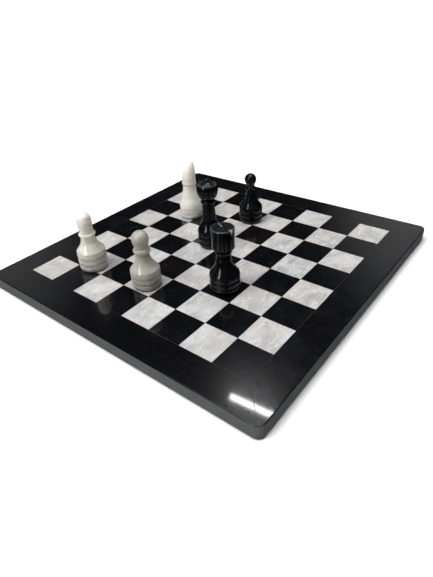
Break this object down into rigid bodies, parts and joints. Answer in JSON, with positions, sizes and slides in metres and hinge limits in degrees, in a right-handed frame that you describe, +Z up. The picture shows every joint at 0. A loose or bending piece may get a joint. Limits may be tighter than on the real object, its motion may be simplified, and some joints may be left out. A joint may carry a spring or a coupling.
{
  "type": "chess set with board",
  "caption": "Square stone chess board with inlaid light and dark tiles and a mitred border, with turned stone chessmen standing on it in mid-game.",
  "frame": {"origin": "middle of the board, at the surface that its feet stand on", "axes": "+X from file a to file h, +Y from rank 1 to rank 8, +Z up"},
  "size_m": [0.305, 0.305, 0.0833],
  "materials": {
    "dark_tile_stone": "polished black stone with faint white specks",
    "light_tile_stone": "polished white marble with soft grey clouds",
    "border_stone": "polished black stone on top, honed grey on the sides",
    "backing_stone": "sawn grey stone",
    "white_stone": "polished cream onyx",
    "black_stone": "polished black stone with scuffed edges",
    "felt": "felt",
    "foot_rubber": "matte"
  },
  "bodies": {
    "board": {"backing_slab": "backing_stone", "dark_tile_grid": "dark_tile_stone", "light_tile_a2": "light_tile_stone", "light_tile_a4": "light_tile_stone", "light_tile_a6": "light_tile_stone", "light_tile_a8": "light_tile_stone", "light_tile_b1": "light_tile_stone", "light_tile_b3": "light_tile_stone", "light_tile_b5": "light_tile_stone", "light_tile_b7": "light_tile_stone", "light_tile_c2": "light_tile_stone", "light_tile_c4": "light_tile_stone", "light_tile_c6": "light_tile_stone", "light_tile_c8": "light_tile_stone", "light_tile_d1": "light_tile_stone", "light_tile_d3": "light_tile_stone", "light_tile_d5": "light_tile_stone", "light_tile_d7": "light_tile_stone", "light_tile_e2": "light_tile_stone", "light_tile_e4": "light_tile_stone", "light_tile_e6": "light_tile_stone", "light_tile_e8": "light_tile_stone", "light_tile_f1": "light_tile_stone", "light_tile_f3": "light_tile_stone", "light_tile_f5": "light_tile_stone", "light_tile_f7": "light_tile_stone", "light_tile_g2": "light_tile_stone", "light_tile_g4": "light_tile_stone", "light_tile_g6": "light_tile_stone", "light_tile_g8": "light_tile_stone", "light_tile_h1": "light_tile_stone", "light_tile_h3": "light_tile_stone", "light_tile_h5": "light_tile_stone", "light_tile_h7": "light_tile_stone", "border_rank_8": "border_stone", "border_file_a": "border_stone", "border_rank_1": "border_stone", "border_file_h": "border_stone", "foot_a1": "foot_rubber", "foot_h1": "foot_rubber", "foot_h8": "foot_rubber", "foot_a8": "foot_rubber"},
    "white_pawn_1": {"white_pawn_1": "white_stone", "white_pawn_1_felt": "felt"},
    "white_pawn_2": {"white_pawn_2": "white_stone", "white_pawn_2_felt": "felt"},
    "white_bishop": {"white_bishop": "white_stone", "white_bishop_felt": "felt"},
    "black_pawn": {"black_pawn": "black_stone", "black_pawn_felt": "felt"},
    "black_rook": {"black_rook": "black_stone", "black_rook_felt": "felt"},
    "black_queen": {"black_queen": "black_stone", "black_queen_felt": "felt"}
  },
  "joints": [
    {"name": "white_pawn_1_lift", "type": "slide", "parent": "board", "child": "white_pawn_1", "axis": [0, 0, 1], "range_m": [0, 0.09]},
    {"name": "white_pawn_2_lift", "type": "slide", "parent": "board", "child": "white_pawn_2", "axis": [0, 0, 1], "range_m": [0, 0.09]},
    {"name": "white_bishop_lift", "type": "slide", "parent": "board", "child": "white_bishop", "axis": [0, 0, 1], "range_m": [0, 0.09]},
    {"name": "black_pawn_lift", "type": "slide", "parent": "board", "child": "black_pawn", "axis": [0, 0, 1], "range_m": [0, 0.09]},
    {"name": "black_rook_lift", "type": "slide", "parent": "board", "child": "black_rook", "axis": [0, 0, 1], "range_m": [0, 0.09]},
    {"name": "black_queen_lift", "type": "slide", "parent": "board", "child": "black_queen", "axis": [0, 0, 1], "range_m": [0, 0.09]}
  ]
}
